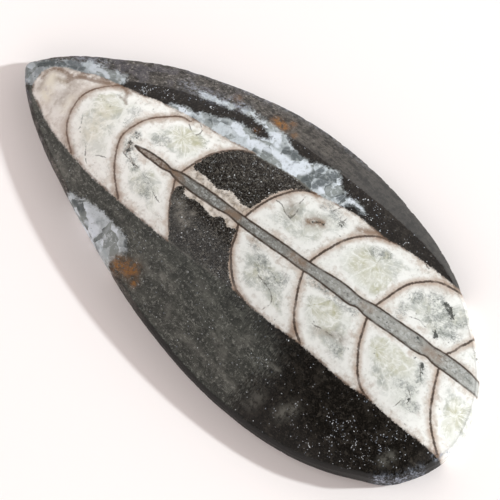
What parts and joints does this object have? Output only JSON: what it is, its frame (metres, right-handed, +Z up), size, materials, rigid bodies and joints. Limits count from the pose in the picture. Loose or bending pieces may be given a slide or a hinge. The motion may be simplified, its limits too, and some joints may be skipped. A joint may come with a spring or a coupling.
{
  "type": "polished orthoceras fossil",
  "caption": "Leaf-shaped stone slab with a low domed top, a ground bevel along one side and a flat back, cut through a straight chambered fossil shell.",
  "frame": {"origin": "middle of the flat sawn back, under the middle of the outline", "axes": "+X from the pointed tip to the blunt end along the shell, +Y towards the bevelled side, +Z up out of the polished top"},
  "size_m": [0.062, 0.0298, 0.0065],
  "materials": {
    "fossil_limestone": "polished"
  },
  "bodies": {
    "root": {"polished_stone": "fossil_limestone"}
  },
  "joints": []
}
